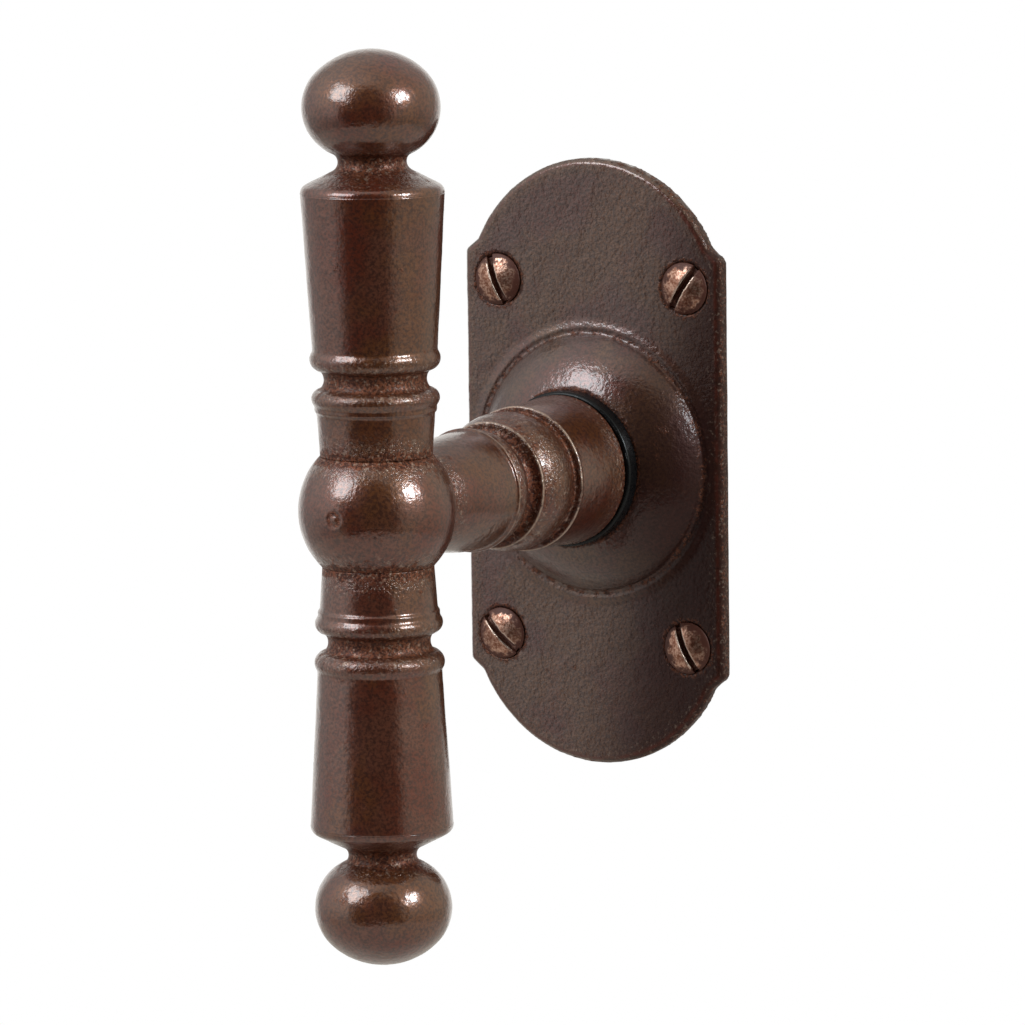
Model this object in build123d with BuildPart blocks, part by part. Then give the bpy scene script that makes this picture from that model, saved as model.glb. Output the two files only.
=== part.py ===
from build123d import *
import math
import os

# A cast-iron window handle: a turned T-bar on a turned neck, carried by a shaped plate
# with a hollow dome. The spindle axis is Y and the room is towards -Y. The origin is on
# the spindle axis in the plate's back face, which lies against the window.

# Clearances
SEAT_GAP = 0.02          # fixed pieces that are pressed or screwed together
ROD_GAP = 0.05           # rod and square fits
RUNNING_GAP = 0.06       # journal in its bush, radially
FACE_GAP = 0.1           # faces that turn past each other
LOOSE_GAP = 0.2          # pieces dropped into a pocket

# Back plate: straight sides, a small shoulder at each corner and an arched end
PLATE_HEIGHT = 92.0
PLATE_WIDTH = 45.0
PLATE_THICKNESS = 2.4
STRAIGHT_LENGTH = 63.0
SHOULDER_INSET = 2.2
SHOULDER_RISE = 1.7
CORNER_ROUNDING = 1.0
EDGE_BEVEL = 0.65

# Dome in the middle of the plate, with a short steep foot and a low raised ring round it
DOME_RADIUS = 19.5
DOME_HEIGHT = 6.3
DOME_LAND_RADIUS = 12.1
DOME_BULGE = 0.75
DOME_FOOT_RISE = 0.9
DOME_FOOT_DRAFT = 0.2
DOME_SIDE_WALL = 2.4
HALO_WIDTH = 2.1
HALO_HEIGHT = 0.3

# Countersunk screws: the plate's wood screws, and the small screws of the cover
HEAD_ANGLE = 90.0
SCREW_SPACING_X = 32.8
SCREW_SPACING_Z = 54.2
SCREW_HEAD_RADIUS = 4.0
SCREW_HEAD_RISE = 1.15
SCREW_NECK_RADIUS = 2.2
SCREW_SHANK_RADIUS = 2.0
SCREW_LENGTH = 12.0
SCREW_TIP_LENGTH = 5.0
SCREW_TIP_RADIUS = 0.25
SCREW_SLOT_WIDTH = 1.0
SCREW_SLOT_DEPTH = 1.5
SCREW_SLOT_TILTS = (-22.0, 34.0, -47.0, -26.0)
COVER_SCREW_HEAD_RADIUS = 1.7
COVER_SCREW_RADIUS = 1.0
COVER_SCREW_LENGTH = 3.2
COVER_SCREW_SLOT_WIDTH = 0.5
COVER_SCREW_SLOT_DEPTH = 0.45

# Spindle, its pin, and the journal that turns in the bush
SPINDLE_SQUARE = 7.0
SPINDLE_REACH = 32.0
SPINDLE_SOCKET_DEPTH = 11.5
SPINDLE_CHAMFER = 0.7
PIN_RADIUS = 1.0
JOURNAL_WALL = 1.5
BUSH_WALL = 1.5
FLANGE_WIDTH = 1.4
FLANGE_THICKNESS = 0.8
NECK_WASHER_RADIUS = 11.7
NECK_WASHER_THICKNESS = 2.2
NECK_WASHER_ROUNDING = 0.5

# Retaining ring in the journal's groove, and the cone washer in front of it
CLIP_THICKNESS = 0.8
CLIP_WIDTH = 2.0
CLIP_OPENING = 3.4
CLIP_GROOVE_DEPTH = 0.6
CONE_WASHER_WIDTH = 2.2
CONE_WASHER_HEIGHT = 0.65
CONE_WASHER_THICKNESS = 0.35

# Detent: a square cam between two leaf springs, in a housing behind a cover
COVER_THICKNESS = 1.2
COVER_LEDGE = 3.9
CAM_WALL = 1.7
CAM_CORNER_CUT = 0.3
CAM_THICKNESS = 2.3
LUG_WIDTH = 1.6
LUG_OVERHANG = 1.45
LUG_REACH = 0.7
SPRING_LENGTH = 20.2
SPRING_THICKNESS = 0.5
SPRING_WIDTH = 2.0
SPRING_HOOK = 1.4
SPRING_ROOM = 1.0
HOUSING_WALL = 0.85
HOUSING_LIP = 0.95
EAR_WIDTH = 3.0
EAR_LENGTH = 1.1

# Ball in the middle of the bar, and the distance from the window to it
BALL_OUT = 61.3
BALL_RADIUS = 11.45
CENTRE_MARK_RADIUS = 0.75
CENTRE_MARK_WIDTH = 0.35
CENTRE_MARK_DEPTH = 0.25

# Neck from the ball to the dome: radii, and the width of each turned feature
NECK_ROOT_RADIUS = 6.5
BELL_MIDDLE_RADIUS = 8.3
BELL_RADIUS = 8.9
BELL_END = 23.6
RING_WIDTH = 0.8
RING_ROUNDING = 0.2
FIRST_RING_RADIUS = 9.3
NECK_BEAD_FOOT_RADIUS = 8.5
NECK_BEAD_RADIUS = 8.95
NECK_BEAD_WIDTH = 3.0
NECK_COVE_RADIUS = 7.4
NECK_COVE_WIDTH = 2.4
NECK_COVE_END_RADIUS = 8.7
SECOND_RING_RADIUS = 9.55
BAND_START_RADIUS = 9.15
BAND_RADIUS = 10.45
BAND_WIDTH = 7.0
BAND_GROOVE_RADIUS = 9.8
BAND_GROOVE_WIDTH = 0.7
THIRD_RING_RADIUS = 10.95
DRUM_START_RADIUS = 10.6
DRUM_RADIUS = 11.4
DRUM_EDGE_ROUNDING = 0.5
TENON_RADIUS = 4.5
TENON_PAST_ROD = 2.0

# Arms of the bar: radii, and the height of each turned feature
ARM_ROOT_RADIUS = 8.15
ARM_WAIST_RADIUS = 8.55
ARM_WAIST = 14.15
STEP_RADIUS = 8.85
STEP_RISE = 0.2
STEP_HEIGHT = 0.85
INNER_BEAD_RADIUS = 9.28
INNER_BEAD_HEIGHT = 2.5
INNER_BEAD_FOOT_RADIUS = 7.95
COVE_RADIUS = 7.45
COVE_HEIGHT = 2.5
OUTER_BEAD_RADIUS = 9.45
OUTER_BEAD_HEIGHT = 2.9
OUTER_BEAD_FOOT_RADIUS = 7.95
BARREL_FOOT_RADIUS = 9.05
BARREL_LENGTH = 22.5
BARREL_END_RADIUS = 10.4

# Finials at the ends of the bar, and the rod that clamps the bar together
RIM_HEIGHT = 0.95
RIM_ROUNDING = 1.3
CONE_HEIGHT = 2.33
CONE_TOP_RADIUS = 5.75
FINIAL_COVE_HEIGHT = 1.22
FINIAL_NECK_RADIUS = 5.0
FINIAL_FLARE_HEIGHT = 0.95
KNOB_FOOT_RADIUS = 5.4
KNOB_RADIUS = 10.0
KNOB_HALF_HEIGHT = 8.4
KNOB_SIDE_CURVE = 7.3
ROD_RADIUS = 3.0
ROD_IN_KNOB = 1.25
ROD_END_CHAMFER = 0.5

# The mechanism's places along the spindle axis, worked out from the cover inwards
face_y = -PLATE_THICKNESS
dome_top_y = face_y - DOME_HEIGHT
cover_y = -COVER_THICKNESS
cam_back_y = cover_y - LOOSE_GAP
cam_y = cam_back_y - CAM_THICKNESS
journal_end_y = cam_y - ROD_GAP
clip_y = journal_end_y - LOOSE_GAP - CLIP_THICKNESS
cone_washer_y = clip_y - ROD_GAP - CONE_WASHER_HEIGHT
flange_y = cone_washer_y - ROD_GAP
ceiling_y = flange_y - FLANGE_THICKNESS
washer_top_y = dome_top_y - NECK_WASHER_THICKNESS
drum_end_y = washer_top_y - FACE_GAP
pin_y = (flange_y + drum_end_y) / 2
socket_end_y = drum_end_y - SPINDLE_SOCKET_DEPTH

# The mechanism's widths, worked out from the square spindle outwards
socket_square = SPINDLE_SQUARE + 2 * ROD_GAP
journal_radius = socket_square / math.sqrt(2) + JOURNAL_WALL
groove_radius = journal_radius - CLIP_GROOVE_DEPTH
bush_radius = journal_radius + BUSH_WALL
clip_radius = groove_radius + CLIP_WIDTH
cam_half = socket_square / 2 + CAM_WALL
cam_corner_radius = cam_half * math.sqrt(2) - CAM_CORNER_CUT
lug_radius = cam_half + LUG_OVERHANG
spring_x = cam_half + ROD_GAP
hook_end_x = spring_x + SPRING_THICKNESS + SPRING_HOOK
spring_end_z = SPRING_LENGTH / 2
slot_end_z = spring_end_z + FACE_GAP
housing_radius = math.hypot(slot_end_z, hook_end_x + FACE_GAP) + HOUSING_WALL
housing_y = cam_y - HOUSING_LIP
cavity_radius = housing_radius + LOOSE_GAP
cover_radius = cavity_radius + COVER_LEDGE
cover_screw_x = cavity_radius + COVER_LEDGE / 2

# The hollow's side is a slice of a sphere, one wall inside the sphere that passes through
# the dome's foot and land. The dome's own side bulges more than that sphere does.
sphere_drop = (DOME_RADIUS**2 - DOME_LAND_RADIUS**2 - DOME_HEIGHT**2) / (2 * DOME_HEIGHT)
sphere_y = face_y + sphere_drop
sphere_radius = math.hypot(sphere_drop, DOME_RADIUS)
inner_sphere_radius = sphere_radius - DOME_SIDE_WALL

# The ball is cut flat where the neck and the arms are seated on it.
stem_seat = math.sqrt(BALL_RADIUS**2 - NECK_ROOT_RADIUS**2)
arm_seat = math.sqrt(BALL_RADIUS**2 - ARM_ROOT_RADIUS**2)
rod_bore = ROD_RADIUS + ROD_GAP
tenon_end_y = -BALL_OUT - rod_bore - TENON_PAST_ROD

# Heights along the bar, above the ball's centre
step_foot_z = ARM_WAIST + STEP_RISE
inner_bead_z = step_foot_z + STEP_HEIGHT
cove_z = inner_bead_z + INNER_BEAD_HEIGHT
outer_bead_z = cove_z + COVE_HEIGHT
barrel_z = outer_bead_z + OUTER_BEAD_HEIGHT
arm_end_z = barrel_z + BARREL_LENGTH
cone_foot_z = arm_end_z + RIM_HEIGHT
cone_top_z = cone_foot_z + CONE_HEIGHT
finial_neck_z = cone_top_z + FINIAL_COVE_HEIGHT
knob_foot_z = finial_neck_z + FINIAL_FLARE_HEIGHT
rod_end_z = knob_foot_z + ROD_IN_KNOB

# The bar's pieces are turned about its axis, from sketches that hold the radius along X.
bar_plane = Plane(origin=(0, -BALL_OUT, 0), x_dir=(1, 0, 0), z_dir=(0, -1, 0))
bar_axis = Axis((0, -BALL_OUT, 0), (0, 0, 1))


def facing_room(y):
    """A sketch plane square to the spindle axis at y, with its normal towards the room."""
    return Plane(origin=(0, y, 0), x_dir=(1, 0, 0), z_dir=(0, -1, 0))


def across_hollow(y):
    """Radius of the hollow's curved side at y."""
    return math.sqrt(inner_sphere_radius**2 - (y - sphere_y) ** 2)


def head_depth(head_radius, shank_radius):
    """Depth of a countersunk head's cone."""
    return (head_radius - shank_radius) / math.tan(math.radians(HEAD_ANGLE / 2))


def save(piece, name):
    piece.part.label = name
    export_step(piece.part, f"parts/{name}.step")


os.makedirs("parts", exist_ok=True)

# Back plate: shaped outline, dome, hollow for the mechanism and four countersunk holes
half_width = PLATE_WIDTH / 2
half_straight = STRAIGHT_LENGTH / 2
arch_foot_x = half_width - SHOULDER_INSET
arch_foot_z = half_straight + SHOULDER_RISE
dome_foot_x = DOME_RADIUS - DOME_FOOT_DRAFT
dome_foot_y = face_y - DOME_FOOT_RISE
dome_slope = math.atan2(dome_foot_y - dome_top_y, dome_foot_x - DOME_LAND_RADIUS)
dome_middle_x = (dome_foot_x + DOME_LAND_RADIUS) / 2 + DOME_BULGE * math.sin(dome_slope)
dome_middle_y = (dome_foot_y + dome_top_y) / 2 - DOME_BULGE * math.cos(dome_slope)
halo_crest_radius = DOME_RADIUS + HALO_WIDTH / 2
wall_foot_y = sphere_y - math.sqrt(inner_sphere_radius**2 - cavity_radius**2)
inner_middle_y = (wall_foot_y + ceiling_y) / 2
ceiling_radius = across_hollow(ceiling_y)
recess_radius = cover_radius + FACE_GAP
ear_end = housing_radius + EAR_LENGTH

with BuildPart() as back_plate:
    with BuildSketch(Plane.XZ) as outline:
        with BuildLine():
            for side in (1, -1):
                Line((side * half_width, -half_straight), (side * half_width, half_straight))
                for end in (1, -1):
                    Line(
                        (side * half_width, end * half_straight),
                        (side * arch_foot_x, end * arch_foot_z),
                    )
            for end in (1, -1):
                ThreePointArc(
                    (arch_foot_x, end * arch_foot_z),
                    (0, end * PLATE_HEIGHT / 2),
                    (-arch_foot_x, end * arch_foot_z),
                )
        make_face()
        corners = outline.vertices().group_by(Axis.X)
        fillet(corners[0] + corners[-1], CORNER_ROUNDING)
    extrude(amount=PLATE_THICKNESS)
    chamfer(back_plate.faces().sort_by(Axis.Y)[0].edges(), EDGE_BEVEL)
    with BuildSketch(Plane.XY):
        with BuildLine():
            Polyline(
                (0, dome_top_y),
                (0, 0),
                (DOME_RADIUS, 0),
                (DOME_RADIUS, face_y),
                (dome_foot_x, dome_foot_y),
            )
            ThreePointArc(
                (dome_foot_x, dome_foot_y),
                (dome_middle_x, dome_middle_y),
                (DOME_LAND_RADIUS, dome_top_y),
            )
            Line((DOME_LAND_RADIUS, dome_top_y), (0, dome_top_y))
        make_face()
    revolve(axis=Axis.Y)
    with BuildSketch(Plane.XY):
        with BuildLine():
            Polyline(
                (DOME_RADIUS, 0),
                (DOME_RADIUS + HALO_WIDTH, face_y),
                (halo_crest_radius, face_y - HALO_HEIGHT),
                (DOME_RADIUS, face_y),
                close=True,
            )
        make_face()
    revolve(axis=Axis.Y)
    with BuildSketch(Plane.XY):
        with BuildLine():
            Polyline(
                (0, ceiling_y),
                (0, 0),
                (recess_radius, 0),
                (recess_radius, cover_y),
                (cavity_radius, cover_y),
                (cavity_radius, wall_foot_y),
            )
            ThreePointArc(
                (cavity_radius, wall_foot_y),
                (across_hollow(inner_middle_y), inner_middle_y),
                (ceiling_radius, ceiling_y),
            )
            Line((ceiling_radius, ceiling_y), (0, ceiling_y))
        make_face()
    revolve(axis=Axis.Y, mode=Mode.SUBTRACT)
    with BuildSketch(facing_room(cover_y)):
        Rectangle(EAR_WIDTH + LOOSE_GAP, 2 * (ear_end + LOOSE_GAP))
    extrude(amount=cover_y - housing_y, mode=Mode.SUBTRACT)
    with BuildSketch(facing_room(cover_y)):
        with Locations((-cover_screw_x, 0), (cover_screw_x, 0)):
            Circle(COVER_SCREW_RADIUS + SEAT_GAP)
    extrude(amount=COVER_SCREW_LENGTH + LOOSE_GAP + cover_y, mode=Mode.SUBTRACT)
    with BuildSketch(facing_room(ceiling_y)):
        Circle(bush_radius + SEAT_GAP)
    extrude(amount=ceiling_y - dome_top_y, mode=Mode.SUBTRACT)
    with Locations(facing_room(face_y)):
        with GridLocations(SCREW_SPACING_X, SCREW_SPACING_Z, 2, 2):
            CounterSinkHole(
                radius=SCREW_NECK_RADIUS + FACE_GAP,
                counter_sink_radius=SCREW_HEAD_RADIUS + ROD_GAP,
                counter_sink_angle=HEAD_ANGLE,
            )
save(back_plate, "back_plate")

# Plate screws: slotted, raised countersunk heads, in the order upper left, upper right,
# lower left, lower right. The neck under the head ends at the plate's back.
head_cone_y = face_y + head_depth(SCREW_HEAD_RADIUS, SCREW_NECK_RADIUS)
head_top_y = face_y - SCREW_HEAD_RISE
screw_end_y = face_y + SCREW_LENGTH
head_curve_radius = (SCREW_HEAD_RADIUS**2 + SCREW_HEAD_RISE**2) / (2 * SCREW_HEAD_RISE)
head_middle_x = SCREW_HEAD_RADIUS / 2
head_middle_y = head_top_y + head_curve_radius - math.sqrt(head_curve_radius**2 - head_middle_x**2)
screw_places = [
    (side * SCREW_SPACING_X / 2, end * SCREW_SPACING_Z / 2)
    for end in (1, -1)
    for side in (-1, 1)
]

with BuildPart() as plate_screws:
    for (x, z), tilt in zip(screw_places, SCREW_SLOT_TILTS):
        with BuildSketch(Plane(origin=(x, 0, z))):
            with BuildLine():
                ThreePointArc(
                    (0, head_top_y), (head_middle_x, head_middle_y), (SCREW_HEAD_RADIUS, face_y)
                )
                Polyline(
                    (SCREW_HEAD_RADIUS, face_y),
                    (SCREW_NECK_RADIUS, head_cone_y),
                    (SCREW_NECK_RADIUS, 0),
                    (SCREW_SHANK_RADIUS, 0),
                    (SCREW_SHANK_RADIUS, screw_end_y - SCREW_TIP_LENGTH),
                    (SCREW_TIP_RADIUS, screw_end_y),
                    (0, screw_end_y),
                    (0, head_top_y),
                )
            make_face()
        revolve(axis=Axis((x, 0, z), (0, 1, 0)))
        with BuildSketch(Plane(origin=(x, head_top_y, z), x_dir=(1, 0, 0), z_dir=(0, -1, 0))):
            Rectangle(SCREW_SLOT_WIDTH, 2 * (SCREW_HEAD_RADIUS + LOOSE_GAP), rotation=-tilt)
        extrude(amount=-SCREW_SLOT_DEPTH, mode=Mode.SUBTRACT)
save(plate_screws, "plate_screws")

# Bearing bush: pressed into the dome from inside, its flange against the ceiling
with BuildPart() as bearing_bush:
    with BuildSketch(facing_room(flange_y)):
        Circle(bush_radius + FLANGE_WIDTH)
    extrude(amount=FLANGE_THICKNESS)
    with BuildSketch(facing_room(ceiling_y)):
        Circle(bush_radius)
    extrude(amount=ceiling_y - washer_top_y - FACE_GAP)
    with BuildSketch(facing_room(flange_y)):
        Circle(journal_radius + RUNNING_GAP)
    extrude(amount=flange_y - washer_top_y, mode=Mode.SUBTRACT)
save(bearing_bush, "bearing_bush")

# Neck washer: black plastic ring between the dome and the neck
with BuildPart() as neck_washer:
    with BuildSketch(facing_room(dome_top_y)):
        Circle(NECK_WASHER_RADIUS)
        Circle(bush_radius + FACE_GAP, mode=Mode.SUBTRACT)
    extrude(amount=NECK_WASHER_THICKNESS)
    front_edges = neck_washer.faces().sort_by(Axis.Y)[0].edges()
    fillet(front_edges.sort_by(SortBy.RADIUS)[-1], NECK_WASHER_ROUNDING)
save(neck_washer, "neck_washer")

# Detent housing: a ring in the dome that holds the two leaf springs beside the cam
window_x = cam_corner_radius + SPRING_THICKNESS + SPRING_ROOM
window_z = clip_radius + LOOSE_GAP
slot_x = (spring_x + hook_end_x) / 2
with BuildPart() as detent_housing:
    with BuildSketch(facing_room(cover_y - ROD_GAP)):
        Circle(housing_radius)
        Rectangle(EAR_WIDTH, 2 * ear_end)
        Rectangle(2 * window_x, 2 * window_z, mode=Mode.SUBTRACT)
        with Locations((-slot_x, 0), (slot_x, 0)):
            Rectangle(hook_end_x - spring_x + 2 * FACE_GAP, 2 * slot_end_z, mode=Mode.SUBTRACT)
    extrude(amount=cover_y - ROD_GAP - housing_y)
save(detent_housing, "detent_housing")


def leaf_spring(side):
    """A flat leaf with hooked ends, lying along the cam's flat on one side."""
    hook_z = spring_end_z - SPRING_THICKNESS / 2
    with BuildPart() as spring:
        with BuildSketch(facing_room(cam_back_y - (CAM_THICKNESS - SPRING_WIDTH) / 2)):
            with Locations((side * (spring_x + SPRING_THICKNESS / 2), 0)):
                Rectangle(SPRING_THICKNESS, 2 * spring_end_z)
            with Locations((side * slot_x, hook_z), (side * slot_x, -hook_z)):
                Rectangle(hook_end_x - spring_x, SPRING_THICKNESS)
        extrude(amount=SPRING_WIDTH)
    return spring


save(leaf_spring(-1), "detent_spring_left")
save(leaf_spring(1), "detent_spring_right")

# Mechanism cover: closes the hollow flush with the back. The upper half of its opening is
# wider, so that the cam's lug can travel, and the two steps stop the lug a quarter turn
# either way.
lug_clear_radius = lug_radius + LOOSE_GAP
spindle_clear_radius = SPINDLE_SQUARE / math.sqrt(2) + LOOSE_GAP
stop_z = -LUG_WIDTH / 2 - FACE_GAP
with BuildPart() as mechanism_cover:
    with BuildSketch(facing_room(0)):
        Circle(cover_radius)
    extrude(amount=COVER_THICKNESS)
    with BuildSketch(facing_room(0)):
        Circle(lug_clear_radius)
        with Locations((0, stop_z)):
            Rectangle(
                2 * lug_clear_radius,
                2 * lug_clear_radius,
                align=(Align.CENTER, Align.MIN),
                mode=Mode.INTERSECT,
            )
        Circle(spindle_clear_radius)
    extrude(amount=COVER_THICKNESS, mode=Mode.SUBTRACT)
    with Locations(Plane.XZ.reverse()):
        with Locations((-cover_screw_x, 0), (cover_screw_x, 0)):
            CounterSinkHole(
                radius=COVER_SCREW_RADIUS + FACE_GAP,
                counter_sink_radius=COVER_SCREW_HEAD_RADIUS + ROD_GAP,
                counter_sink_angle=HEAD_ANGLE,
            )
save(mechanism_cover, "mechanism_cover")

# Cover screws: small slotted countersunk screws into the plate's blind holes
cover_cone_y = -head_depth(COVER_SCREW_HEAD_RADIUS, COVER_SCREW_RADIUS)
with BuildPart() as cover_screws:
    for x in (-cover_screw_x, cover_screw_x):
        with BuildSketch(Plane(origin=(x, 0, 0))):
            with BuildLine():
                Polyline(
                    (0, 0),
                    (COVER_SCREW_HEAD_RADIUS, 0),
                    (COVER_SCREW_RADIUS, cover_cone_y),
                    (COVER_SCREW_RADIUS, -COVER_SCREW_LENGTH),
                    (0, -COVER_SCREW_LENGTH),
                    close=True,
                )
            make_face()
        revolve(axis=Axis((x, 0, 0), (0, 1, 0)))
        with BuildSketch(Plane(origin=(x, 0, 0), x_dir=(1, 0, 0), z_dir=(0, -1, 0))):
            Rectangle(COVER_SCREW_SLOT_WIDTH, 2 * (COVER_SCREW_HEAD_RADIUS + LOOSE_GAP))
        extrude(amount=COVER_SCREW_SLOT_DEPTH, mode=Mode.SUBTRACT)
save(cover_screws, "cover_screws")

# Cone washer: sprung ring between the bush's flange and the retaining ring
cone_bore = journal_radius + LOOSE_GAP
cone_edge = cone_bore + CONE_WASHER_WIDTH
cone_inner_y = cone_washer_y + CONE_WASHER_HEIGHT
with BuildPart() as cone_washer:
    with BuildSketch(Plane.XY):
        with BuildLine():
            Polyline(
                (cone_edge, cone_washer_y),
                (cone_edge, cone_washer_y + CONE_WASHER_THICKNESS),
                (cone_bore, cone_inner_y),
                (cone_bore, cone_inner_y - CONE_WASHER_THICKNESS),
                close=True,
            )
        make_face()
    revolve(axis=Axis.Y)
save(cone_washer, "cone_washer")

# Retaining ring: open clip in the journal's groove, which keeps the neck in the dome
with BuildPart() as retaining_ring:
    with BuildSketch(facing_room(clip_y + CLIP_THICKNESS)):
        Circle(clip_radius)
        Circle(groove_radius + ROD_GAP, mode=Mode.SUBTRACT)
        Rectangle(CLIP_OPENING, clip_radius, align=(Align.CENTER, Align.MAX), mode=Mode.SUBTRACT)
    extrude(amount=CLIP_THICKNESS)
save(retaining_ring, "retaining_ring")

# Neck: one turned piece from the tenon in the ball to the journal in the dome
seat_y = stem_seat - BALL_OUT
bell_end_y = BELL_END - BALL_OUT
neck_bead_y = bell_end_y + RING_WIDTH
neck_cove_y = neck_bead_y + NECK_BEAD_WIDTH
second_ring_y = neck_cove_y + NECK_COVE_WIDTH
band_y = second_ring_y + RING_WIDTH
band_groove_y = band_y + BAND_WIDTH
third_ring_y = band_groove_y + BAND_GROOVE_WIDTH
drum_y = third_ring_y + RING_WIDTH
groove_front_y = clip_y - SEAT_GAP
groove_back_y = clip_y + CLIP_THICKNESS + SEAT_GAP


def arc_between(start, end, middle_radius):
    """An arc in a turned profile of the neck, through a radius half way along."""
    ThreePointArc(start, (middle_radius, (start[1] + end[1]) / 2), end)


def ring_outline(y, radius, foot_before, foot_after):
    """A narrow raised ring from y: up from one foot radius, round, and down to the next."""
    rim_start = (radius - RING_ROUNDING, y)
    rim_end = (radius - RING_ROUNDING, y + RING_WIDTH)
    Line((foot_before, y), rim_start)
    arc_between(rim_start, rim_end, radius)
    Line(rim_end, (foot_after, y + RING_WIDTH))


with BuildPart() as neck:
    with BuildSketch(Plane.XY) as neck_profile:
        with BuildLine():
            Line((0, seat_y), (NECK_ROOT_RADIUS, seat_y))
            arc_between((NECK_ROOT_RADIUS, seat_y), (BELL_RADIUS, bell_end_y), BELL_MIDDLE_RADIUS)
            ring_outline(bell_end_y, FIRST_RING_RADIUS, BELL_RADIUS, NECK_BEAD_FOOT_RADIUS)
            bead_end = (NECK_BEAD_FOOT_RADIUS, neck_cove_y)
            arc_between((NECK_BEAD_FOOT_RADIUS, neck_bead_y), bead_end, NECK_BEAD_RADIUS)
            arc_between(bead_end, (NECK_COVE_END_RADIUS, second_ring_y), NECK_COVE_RADIUS)
            ring_outline(
                second_ring_y, SECOND_RING_RADIUS, NECK_COVE_END_RADIUS, BAND_START_RADIUS
            )
            arc_between(
                (BAND_START_RADIUS, band_y), (BAND_GROOVE_RADIUS, band_groove_y), BAND_RADIUS
            )
            Line((BAND_GROOVE_RADIUS, band_groove_y), (BAND_GROOVE_RADIUS, third_ring_y))
            ring_outline(third_ring_y, THIRD_RING_RADIUS, BAND_GROOVE_RADIUS, DRUM_START_RADIUS)
            Polyline(
                (DRUM_START_RADIUS, drum_y),
                (DRUM_RADIUS, drum_end_y),
                (journal_radius, drum_end_y),
                (journal_radius, groove_front_y),
                (groove_radius, groove_front_y),
                (groove_radius, groove_back_y),
                (journal_radius, groove_back_y),
                (journal_radius, journal_end_y),
                (0, journal_end_y),
                (0, seat_y),
            )
        make_face()
        fillet(neck_profile.vertices().sort_by(Axis.X)[-1], DRUM_EDGE_ROUNDING)
    revolve(axis=Axis.Y)
    with BuildSketch(facing_room(seat_y)):
        Circle(TENON_RADIUS)
    extrude(amount=seat_y - tenon_end_y)
    with BuildSketch(facing_room(journal_end_y)):
        Rectangle(socket_square, socket_square)
    extrude(amount=journal_end_y - socket_end_y, mode=Mode.SUBTRACT)
    with BuildSketch(Plane.XY):
        with Locations((0, -BALL_OUT)):
            Circle(rod_bore)
    extrude(amount=BALL_RADIUS, both=True, mode=Mode.SUBTRACT)
    with BuildSketch(Plane.YZ):
        with Locations((pin_y, 0)):
            Circle(PIN_RADIUS + SEAT_GAP)
    extrude(amount=journal_radius, both=True, mode=Mode.SUBTRACT)
save(neck, "neck")

# Spindle: the square bar that turns the window's lock
with BuildPart() as spindle:
    with BuildSketch(facing_room(SPINDLE_REACH)):
        Rectangle(SPINDLE_SQUARE, SPINDLE_SQUARE)
    extrude(amount=SPINDLE_REACH - socket_end_y - LOOSE_GAP)
    chamfer(spindle.faces().sort_by(Axis.Y)[-1].edges(), SPINDLE_CHAMFER)
    with BuildSketch(Plane.YZ):
        with Locations((pin_y, 0)):
            Circle(PIN_RADIUS + SEAT_GAP)
    extrude(amount=SPINDLE_SQUARE, both=True, mode=Mode.SUBTRACT)
save(spindle, "spindle")

# Spindle pin: through the journal and the spindle, hidden by the bush
with BuildPart() as spindle_pin:
    with BuildSketch(Plane.YZ):
        with Locations((pin_y, 0)):
            Circle(PIN_RADIUS)
    extrude(amount=journal_radius - FACE_GAP, both=True)
save(spindle_pin, "spindle_pin")

# Detent cam: its flats rest against the leaf springs, a quarter turn apart
lug_root = (socket_square / 2 + cam_half) / 2
lug_end_y = cover_y + LUG_REACH
with BuildPart() as detent_cam:
    with BuildSketch(facing_room(cam_back_y)):
        Circle(cam_corner_radius)
        Rectangle(2 * cam_half, 2 * cam_half, mode=Mode.INTERSECT)
        Rectangle(socket_square, socket_square, mode=Mode.SUBTRACT)
    extrude(amount=CAM_THICKNESS)
    with BuildSketch(facing_room(lug_end_y)):
        with Locations((0, lug_root)):
            Rectangle(LUG_WIDTH, lug_radius - lug_root, align=(Align.CENTER, Align.MIN))
    extrude(amount=lug_end_y - cam_back_y)
save(detent_cam, "detent_cam")

# Ball hub: the ball with flat seats for the neck and the arms
with BuildPart() as ball_hub:
    with BuildSketch(bar_plane):
        with BuildLine():
            Polyline(
                (ARM_ROOT_RADIUS, -arm_seat), (0, -arm_seat), (0, arm_seat), (ARM_ROOT_RADIUS, arm_seat)
            )
            ThreePointArc(
                (ARM_ROOT_RADIUS, arm_seat), (BALL_RADIUS, 0), (ARM_ROOT_RADIUS, -arm_seat)
            )
        make_face()
    revolve(axis=bar_axis)
    with BuildSketch(facing_room(seat_y)):
        Rectangle(2 * BALL_RADIUS, 2 * BALL_RADIUS)
    extrude(amount=-BALL_RADIUS, mode=Mode.SUBTRACT)
    with BuildSketch(facing_room(seat_y)):
        Circle(TENON_RADIUS + SEAT_GAP)
    extrude(amount=seat_y - tenon_end_y + FACE_GAP, mode=Mode.SUBTRACT)
    with BuildSketch(Plane.XY):
        with Locations((0, -BALL_OUT)):
            Circle(rod_bore)
    extrude(amount=BALL_RADIUS, both=True, mode=Mode.SUBTRACT)
    with BuildSketch(facing_room(-BALL_OUT - BALL_RADIUS + CENTRE_MARK_DEPTH)):
        Circle(CENTRE_MARK_RADIUS)
        Circle(CENTRE_MARK_RADIUS - CENTRE_MARK_WIDTH, mode=Mode.SUBTRACT)
    extrude(amount=CENTRE_MARK_DEPTH, mode=Mode.SUBTRACT)
save(ball_hub, "ball_hub")

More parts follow.
